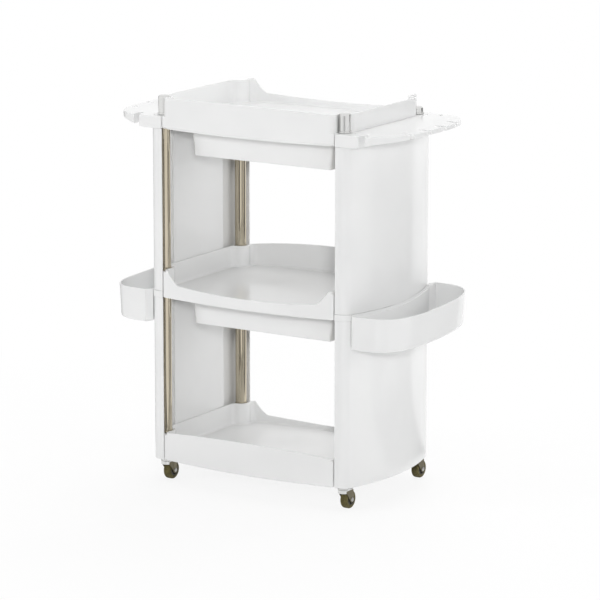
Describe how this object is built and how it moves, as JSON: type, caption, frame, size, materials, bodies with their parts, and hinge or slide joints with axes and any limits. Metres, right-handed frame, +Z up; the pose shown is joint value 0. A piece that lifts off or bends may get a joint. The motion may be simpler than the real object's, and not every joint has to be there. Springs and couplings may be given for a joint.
{
  "type": "rolling salon trolley",
  "caption": "Rolling salon trolley with moulded trays on chrome posts, bowed side panels, sliding drawers, crescent side bins, notched tool rests and swivel casters.",
  "frame": {"origin": "on the floor, under the middle of the trolley", "axes": "+X to the trolley's right seen from the front, -Y to the front where the drawers open, +Z up"},
  "size_m": [0.74, 0.3838, 0.85],
  "materials": {
    "white_plastic": "white moulded plastic, satin to gloss",
    "chrome": "bright chrome with a warm cast",
    "zinc_steel": "zinc plated steel",
    "hub_plastic": "dark plastic wheel centre",
    "tyre_rubber": "dark olive-brown tread"
  },
  "bodies": {
    "frame": {"bottom_tray": "white_plastic", "middle_tray": "white_plastic", "top_tray": "white_plastic", "lower_side_panel_left": "white_plastic", "upper_side_panel_left": "white_plastic", "side_bin_left": "white_plastic", "tool_rest_left": "white_plastic", "lower_side_panel_right": "white_plastic", "upper_side_panel_right": "white_plastic", "side_bin_right": "white_plastic", "tool_rest_right": "white_plastic", "lower_post_front_left": "chrome", "upper_post_front_left": "chrome", "post_cap_front_left": "chrome", "caster_stem_front_left": "chrome", "tie_rod_front_left": "zinc_steel", "lower_post_front_right": "chrome", "upper_post_front_right": "chrome", "post_cap_front_right": "chrome", "caster_stem_front_right": "chrome", "tie_rod_front_right": "zinc_steel", "lower_post_rear_left": "chrome", "upper_post_rear_left": "chrome", "post_cap_rear_left": "chrome", "caster_stem_rear_left": "chrome", "tie_rod_rear_left": "zinc_steel", "lower_post_rear_right": "chrome", "upper_post_rear_right": "chrome", "post_cap_rear_right": "chrome", "caster_stem_rear_right": "chrome", "tie_rod_rear_right": "zinc_steel", "lower_drawer_rail_left": "zinc_steel", "upper_drawer_rail_left": "zinc_steel", "lower_drawer_rail_right": "zinc_steel", "upper_drawer_rail_right": "zinc_steel"},
    "upper_drawer_box": {"upper_drawer": "white_plastic"},
    "lower_drawer_box": {"lower_drawer": "white_plastic"},
    "swivel_front_left": {"caster_fork_front_left": "chrome", "wheel_axle_front_left": "zinc_steel"},
    "wheel_front_left": {"wheel_hub_front_left": "hub_plastic", "wheel_tyre_front_left": "tyre_rubber"},
    "swivel_front_right": {"caster_fork_front_right": "chrome", "wheel_axle_front_right": "zinc_steel"},
    "wheel_front_right": {"wheel_hub_front_right": "hub_plastic", "wheel_tyre_front_right": "tyre_rubber"},
    "swivel_rear_left": {"caster_fork_rear_left": "chrome", "wheel_axle_rear_left": "zinc_steel"},
    "wheel_rear_left": {"wheel_hub_rear_left": "hub_plastic", "wheel_tyre_rear_left": "tyre_rubber"},
    "swivel_rear_right": {"caster_fork_rear_right": "chrome", "wheel_axle_rear_right": "zinc_steel"},
    "wheel_rear_right": {"wheel_hub_rear_right": "hub_plastic", "wheel_tyre_rear_right": "tyre_rubber"}
  },
  "joints": [
    {"name": "upper_drawer_slide", "type": "slide", "parent": "frame", "child": "upper_drawer_box", "axis": [0, -1, 0], "range_m": [0, 0.16]},
    {"name": "lower_drawer_slide", "type": "slide", "parent": "frame", "child": "lower_drawer_box", "axis": [0, -1, 0], "range_m": [0, 0.16]},
    {"name": "swivel_front_left", "type": "hinge", "parent": "frame", "child": "swivel_front_left", "pos_m": [-0.226, -0.148, 0.0432], "axis": [0, 0, 1], "continuous": true},
    {"name": "roll_front_left", "type": "hinge", "parent": "swivel_front_left", "child": "wheel_front_left", "pos_m": [-0.226, -0.131, 0.02], "axis": [1, 0, 0], "continuous": true},
    {"name": "swivel_front_right", "type": "hinge", "parent": "frame", "child": "swivel_front_right", "pos_m": [0.226, -0.148, 0.0432], "axis": [0, 0, 1], "continuous": true},
    {"name": "roll_front_right", "type": "hinge", "parent": "swivel_front_right", "child": "wheel_front_right", "pos_m": [0.226, -0.131, 0.02], "axis": [1, 0, 0], "continuous": true},
    {"name": "swivel_rear_left", "type": "hinge", "parent": "frame", "child": "swivel_rear_left", "pos_m": [-0.226, 0.148, 0.0432], "axis": [0, 0, 1], "continuous": true},
    {"name": "roll_rear_left", "type": "hinge", "parent": "swivel_rear_left", "child": "wheel_rear_left", "pos_m": [-0.226, 0.165, 0.02], "axis": [1, 0, 0], "continuous": true},
    {"name": "swivel_rear_right", "type": "hinge", "parent": "frame", "child": "swivel_rear_right", "pos_m": [0.226, 0.148, 0.0432], "axis": [0, 0, 1], "continuous": true},
    {"name": "roll_rear_right", "type": "hinge", "parent": "swivel_rear_right", "child": "wheel_rear_right", "pos_m": [0.226, 0.165, 0.02], "axis": [1, 0, 0], "continuous": true}
  ]
}
